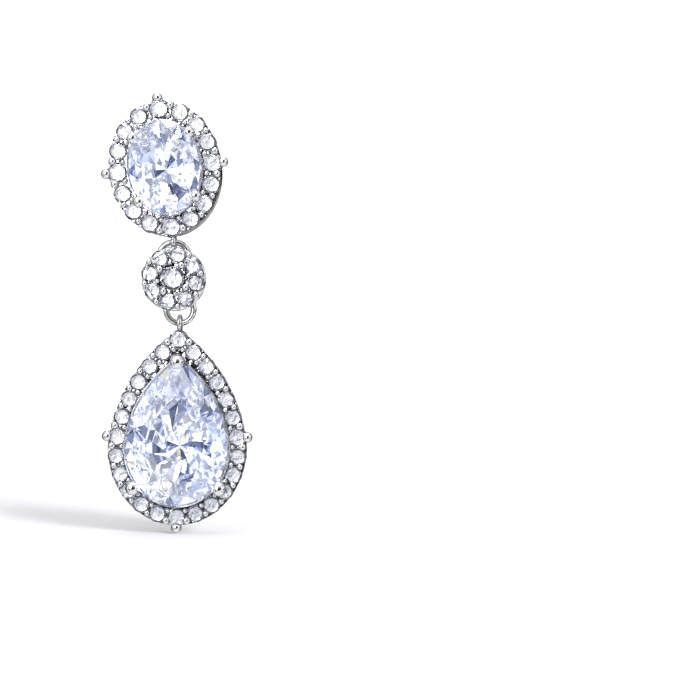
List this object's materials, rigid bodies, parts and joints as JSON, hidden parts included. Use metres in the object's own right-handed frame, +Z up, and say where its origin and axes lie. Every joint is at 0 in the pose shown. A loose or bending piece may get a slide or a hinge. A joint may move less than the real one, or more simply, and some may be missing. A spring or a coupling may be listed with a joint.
{
  "type": "drop earring",
  "caption": "Drop earring on a post: an oval halo stud, a round stone cluster and a pear-shaped halo drop, linked by jump rings.",
  "frame": {"origin": "foot of the ear post, on the flat back of the stud", "axes": "+X to the right as seen from the front, +Y along the post towards the ear, +Z up; the stones face -Y"},
  "size_m": [0.0143, 0.0157, 0.0415],
  "materials": {
    "rhodium_metal": "bright rhodium plate, polished",
    "clear_crystal": "colourless faceted stone"
  },
  "bodies": {
    "stud": {"oval_setting": "rhodium_metal", "oval_stone": "clear_crystal", "oval_accent_top": "clear_crystal", "oval_accent_right": "clear_crystal", "oval_accent_bottom": "clear_crystal", "oval_accent_left": "clear_crystal"},
    "upper_ring": {"upper_jump_ring": "rhodium_metal"},
    "flower": {"flower_setting": "rhodium_metal", "flower_centre_stone": "clear_crystal", "flower_stone_1": "clear_crystal", "flower_stone_2": "clear_crystal", "flower_stone_3": "clear_crystal", "flower_stone_4": "clear_crystal", "flower_stone_5": "clear_crystal", "flower_stone_6": "clear_crystal", "flower_stone_7": "clear_crystal", "flower_stone_8": "clear_crystal"},
    "lower_ring": {"lower_jump_ring": "rhodium_metal"},
    "drop": {"pear_setting": "rhodium_metal", "pear_stone": "clear_crystal", "pear_accent_top": "clear_crystal", "pear_accent_right": "clear_crystal", "pear_accent_bottom": "clear_crystal", "pear_accent_left": "clear_crystal"}
  },
  "joints": [
    {"name": "upper_ring_swing", "type": "hinge", "parent": "stud", "child": "upper_ring", "pos_m": [0.00117, -0.0019, -0.01109], "axis": [1, 0, 0], "range_deg": [-20, 45]},
    {"name": "flower_sway", "type": "hinge", "parent": "upper_ring", "child": "flower", "pos_m": [0.00117, -0.0019, -0.01247], "axis": [0, 1, 0], "range_deg": [-20, 20]},
    {"name": "lower_ring_swing", "type": "hinge", "parent": "flower", "child": "lower_ring", "pos_m": [0.00174, -0.0019, -0.01622], "axis": [1, 0, 0], "range_deg": [-15, 40]},
    {"name": "drop_sway", "type": "hinge", "parent": "lower_ring", "child": "drop", "pos_m": [0.00174, -0.0019, -0.01752], "axis": [0, 1, 0], "range_deg": [-20, 20]}
  ]
}
